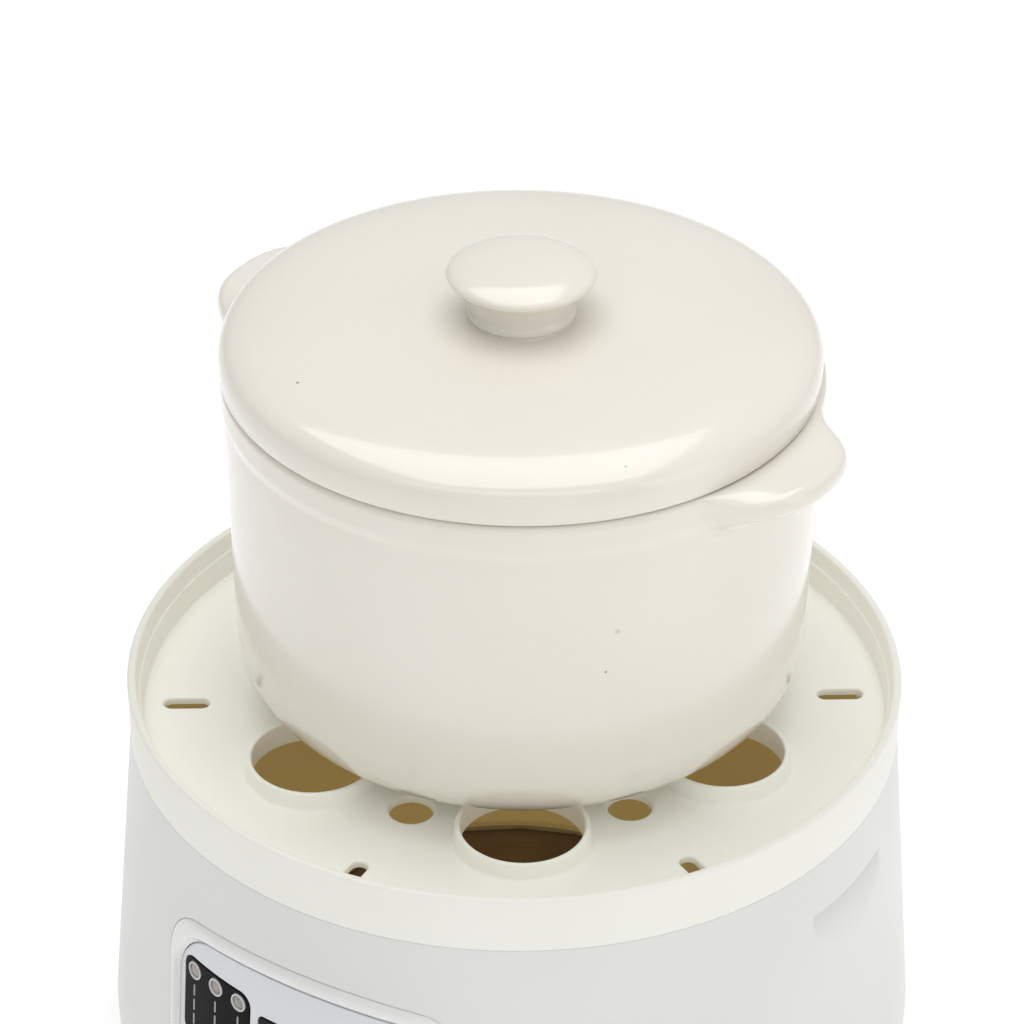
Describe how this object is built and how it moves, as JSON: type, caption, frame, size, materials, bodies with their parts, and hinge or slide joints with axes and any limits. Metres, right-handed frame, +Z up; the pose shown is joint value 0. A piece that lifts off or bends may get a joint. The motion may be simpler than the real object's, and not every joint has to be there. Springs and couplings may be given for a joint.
{
  "type": "yogurt maker",
  "caption": "Round electric water-bath stew pot: flared base with a control panel, steam tray with cup holes, and a lidded ceramic crock with two ears.",
  "frame": {"origin": "on the table, under the centre of the base", "axes": "+Z up, the control panel faces -Y, the crock's ears lie along X"},
  "size_m": [0.288, 0.2883, 0.3218],
  "materials": {
    "housing_plastic": "satin moulded polypropylene, cool white",
    "bezel_plastic": "glossy moulded plastic, white",
    "fascia_plastic": "silver-grey satin panel",
    "black_gloss": "gloss black overlay",
    "lamp_plastic": "tinted light pipe",
    "button_plastic": "satin moulded plastic",
    "tray_plastic": "satin moulded polypropylene, cream",
    "tank_plastic": "moulded polypropylene, warm beige",
    "ceramic": "clear gloss glaze over cream body",
    "rubber": "matt",
    "silicone": "matt silicone",
    "steel": "zinc-plated",
    "plate_metal": "pressed, satin",
    "brass": "bright",
    "board": "green solder mask",
    "component_plastic": "moulded black",
    "lead_plastic": "soft insulation"
  },
  "bodies": {
    "base": {"outer_housing": "housing_plastic", "bottom_cover": "housing_plastic", "foot_1": "rubber", "foot_2": "rubber", "foot_3": "rubber", "foot_4": "rubber", "cover_screw_1": "steel", "cover_screw_2": "steel", "cover_screw_3": "steel", "cover_screw_4": "steel", "water_tank": "tank_plastic", "heating_plate": "plate_metal", "plate_gasket": "silicone", "clamp_ring": "steel", "clamp_screw_1": "steel", "clamp_screw_2": "steel", "clamp_screw_3": "steel", "heating_element": "steel", "temperature_sensor": "steel", "thermal_cut_out": "component_plastic", "control_bezel": "bezel_plastic", "panel_fascia": "fascia_plastic", "indicator_strip_left": "black_gloss", "indicator_strip_right": "black_gloss", "lamp_left_1": "lamp_plastic", "lamp_left_2": "lamp_plastic", "lamp_left_3": "lamp_plastic", "lamp_right_1": "lamp_plastic", "lamp_right_2": "lamp_plastic", "lamp_right_3": "lamp_plastic", "display_window": "black_gloss", "display_board": "board", "display_module": "component_plastic", "display_board_screw_1": "steel", "display_board_screw_2": "steel", "display_board_screw_3": "steel", "display_board_screw_4": "steel", "tact_switch_1": "component_plastic", "tact_switch_2": "component_plastic", "tact_switch_3": "component_plastic", "tact_switch_4": "component_plastic", "mains_inlet": "component_plastic", "inlet_pin_earth": "brass", "inlet_pin_live": "brass", "inlet_pin_neutral": "brass", "power_board": "board", "power_board_screw_1": "steel", "power_board_screw_2": "steel", "relay": "component_plastic", "transformer": "brass", "mains_lead": "lead_plastic", "element_lead": "lead_plastic", "display_lead": "lead_plastic"},
    "tray": {"steam_tray": "tray_plastic"},
    "pot": {"crock": "ceramic"},
    "lid": {"crock_lid": "ceramic"},
    "key_1": {"button_1": "button_plastic"},
    "key_2": {"button_2": "button_plastic"},
    "key_3": {"button_3": "button_plastic"},
    "key_4": {"button_4": "button_plastic"}
  },
  "joints": [
    {"name": "tray_lift", "type": "slide", "parent": "base", "child": "tray", "axis": [0, 0, 1], "range_m": [0, 0.12]},
    {"name": "crock_lift", "type": "slide", "parent": "tray", "child": "pot", "axis": [0, 0, 1], "range_m": [0, 0.15]},
    {"name": "lid_lift", "type": "slide", "parent": "pot", "child": "lid", "axis": [0, 0, 1], "range_m": [0, 0.12]},
    {"name": "button_1_press", "type": "slide", "parent": "base", "child": "key_1", "axis": [0, 1, 0], "range_m": [0, 0.001], "stiffness_N_per_m": 600},
    {"name": "button_2_press", "type": "slide", "parent": "base", "child": "key_2", "axis": [0, 1, 0], "range_m": [0, 0.001], "stiffness_N_per_m": 600},
    {"name": "button_3_press", "type": "slide", "parent": "base", "child": "key_3", "axis": [0, 1, 0], "range_m": [0, 0.001], "stiffness_N_per_m": 600},
    {"name": "button_4_press", "type": "slide", "parent": "base", "child": "key_4", "axis": [0, 1, 0], "range_m": [0, 0.001], "stiffness_N_per_m": 600}
  ]
}
